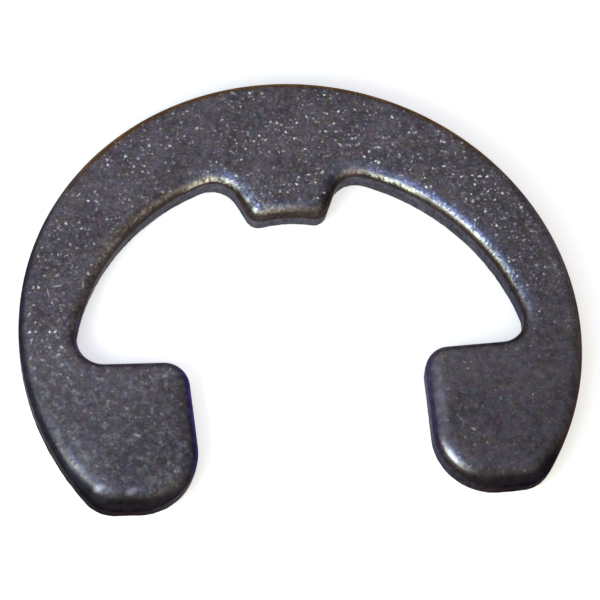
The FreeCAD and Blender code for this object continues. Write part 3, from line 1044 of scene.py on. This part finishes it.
# Round soft lamps: name, degrees round from +X and above the floor, distance and radius in
# millimetres, brightness where 1 is white, and colour
LAMPS = [
    ("key_lamp", 212.0, 39.0, 45.0, 8.4, 7.6, "#ffffff"),
    ("cool_lamp", 205.0, 69.0, 45.0, 6.5, 6.4, "#84acff"),
    ("window", 217.0, 22.0, 100.0, 49.0, 3.6, "#e8ffe5"),
    ("warm_lamp", 294.0, 25.0, 100.0, 78.0, 1.35, "#fff7d4"),
]

# Heights in degrees between which the soft light rises, and between which it gains towards the zenith
SKY_RISE = (2, 26)
ZENITH_RISE = (50, 90)

# Direction in which the soft light grows stronger and cooler, as long as the share that it gains
SKY_LEAN = (-0.5, 0.1, 0.0)

# Middle of the ring's upper side as the camera is aimed at it, sensor width in millimetres, and the
# nearest and farthest that the camera sees
AIM = Vector((0.02, 1.17, 0.9)) * MM
SENSOR = 36.0
NEAREST = 0.01
FARTHEST = 10.0


def lamp(name, azimuth, elevation, distance, radius, brightness, code):
    """Round area lamp that faces the ring and hides from the camera. Its power is its brightness times
    pi times its area, so that a white surface close to it shows its brightness."""
    light = bpy.data.lights.new(name, "AREA")
    light.shape = "DISK"
    light.size = 2 * radius * MM
    light.energy = brightness * math.pi * math.pi * (radius * MM) ** 2
    light.color = linear(code)
    item = bpy.data.objects.new(name, light)
    way = toward(math.radians(azimuth), math.radians(elevation))
    item.location = way * distance * MM
    item.rotation_mode = "QUATERNION"
    item.rotation_quaternion = way.to_track_quat("Z", "Y")
    item.visible_camera = False
    bpy.context.scene.collection.objects.link(item)


def surroundings(s):
    """Soft light from all round: dark at the horizon, even from 26 degrees up, a little stronger
    straight above, and stronger on the side of the lamps."""
    world = bpy.data.worlds.new("surroundings")
    world.use_nodes = True
    tree = world.node_tree
    tree.nodes.clear()
    way = add_node(tree, "TexCoord").outputs["Generated"]
    height = add_node(tree, "SeparateXYZ", (way,)).outputs["Z"]
    rises = []
    for angles, below, above in ((SKY_RISE, s.horizon, s.sky), (ZENITH_RISE, 0.0, s.zenith)):
        heights = [math.sin(math.radians(one)) for one in angles]
        rises.append(add_node(tree, "MapRange", (height, *heights, below, above), **SMOOTH))
    above = add_node(tree, "Math", rises, **PLUS)
    side = add_node(tree, "VectorMath", (way, SKY_LEAN), operation="DOT_PRODUCT")
    strength = add_node(tree, "Math", (above, add_node(tree, "Math", (side, 1.0), **PLUS)), **TIMES)
    share = add_node(tree, "Math", (side, 0.5), **PLUS)
    tint = add_node(tree, "Mix", (share, s.sky_warm, s.sky_cool), **BLEND)
    background = add_node(tree, "Background", {"Color": tint, "Strength": strength})
    add_node(tree, "OutputWorld", {"Surface": background})
    bpy.context.scene.world = world


def camera(s):
    """Camera at the photograph's viewing angle, aimed at the middle of the ring's upper side."""
    data = bpy.data.cameras.new("camera")
    data.sensor_width = SENSOR
    data.lens = s.lens
    data.clip_start = NEAREST
    data.clip_end = FARTHEST
    back = Vector((math.sin(s.azimuth) * math.cos(s.elevation),
                   -math.cos(s.azimuth) * math.cos(s.elevation),
                   math.sin(s.elevation)))
    level = (-back).cross(Vector((0, 0, 1))).normalized()
    upright = level.cross(-back)
    right = math.cos(s.roll) * level + math.sin(s.roll) * upright
    up = back.cross(right)
    item = bpy.data.objects.new("camera", data)
    turned = Matrix((right, up, back)).transposed().to_4x4()
    item.matrix_world = Matrix.Translation(AIM + back * s.distance) @ turned
    bpy.context.scene.collection.objects.link(item)
    bpy.context.scene.camera = item


class SNAPRING_OT_ring(bpy.types.Operator):
    """Build the ring over its CAD solid"""
    bl_idname = "snap_ring.build_ring"
    bl_label = "Build Ring"

    def execute(self, context):
        scene = context.scene
        vertices, faces, marks = ring_mesh(scene.snap_ring_outline, scene.snap_ring_edges)
        piece = new_object(
            "blanked_ring", vertices, faces, marks, phosphated_spring_steel(scene.snap_ring_finish))
        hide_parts(NODE)
        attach(piece, "root")
        return {"FINISHED"}


class SNAPRING_OT_stage(bpy.types.Operator):
    """Lay the floor, hang the lamps and set up the camera"""
    bl_idname = "snap_ring.build_stage"
    bl_label = "Build Stage"

    def execute(self, context):
        s = context.scene.snap_ring_stage
        half = s.floor_side / 2
        corners = np.array([[-half, -half, 0], [half, -half, 0], [half, half, 0], [-half, half, 0]])
        floor = new_object("floor", corners, np.array([[0, 1, 2, 3]]), {}, pale_floor(s))
        for name, azimuth, elevation, distance, radius, brightness, code in LAMPS:
            lamp(name, azimuth, elevation, distance, radius, brightness * s.lamps, code)
        surroundings(s)
        camera(s)
        context.scene.view_settings.view_transform = "Standard"
        return {"FINISHED"}


class SNAPRING_PT_panel(bpy.types.Panel):
    """Sizes, finish and stage of the snap ring"""
    bl_idname = "SNAPRING_PT_panel"
    bl_label = "Snap Ring"
    bl_space_type = "VIEW_3D"
    bl_region_type = "UI"
    bl_category = "Snap Ring"

    def draw(self, context):
        for group in GROUPS:
            box = self.layout.box()
            values = getattr(context.scene, group)
            for name in values.__annotations__:
                box.prop(values, name)
        self.layout.operator(SNAPRING_OT_ring.bl_idname)
        self.layout.operator(SNAPRING_OT_stage.bl_idname)


GROUPS = {
    "snap_ring_outline": SnapRingOutline,
    "snap_ring_edges": SnapRingEdges,
    "snap_ring_finish": SnapRingFinish,
    "snap_ring_stage": SnapRingStage,
}
CLASSES = [*GROUPS.values(), SNAPRING_OT_ring, SNAPRING_OT_stage, SNAPRING_PT_panel]


def register():
    for item in CLASSES:
        bpy.utils.register_class(item)
    for name, group in GROUPS.items():
        setattr(bpy.types.Scene, name, bpy.props.PointerProperty(type=group))


def unregister():
    for name in GROUPS:
        delattr(bpy.types.Scene, name)
    for item in reversed(CLASSES):
        bpy.utils.unregister_class(item)


def main():
    register()
    bpy.ops.snap_ring.build_ring()
    bpy.ops.snap_ring.build_stage()


if __name__ == "__main__":
    main()
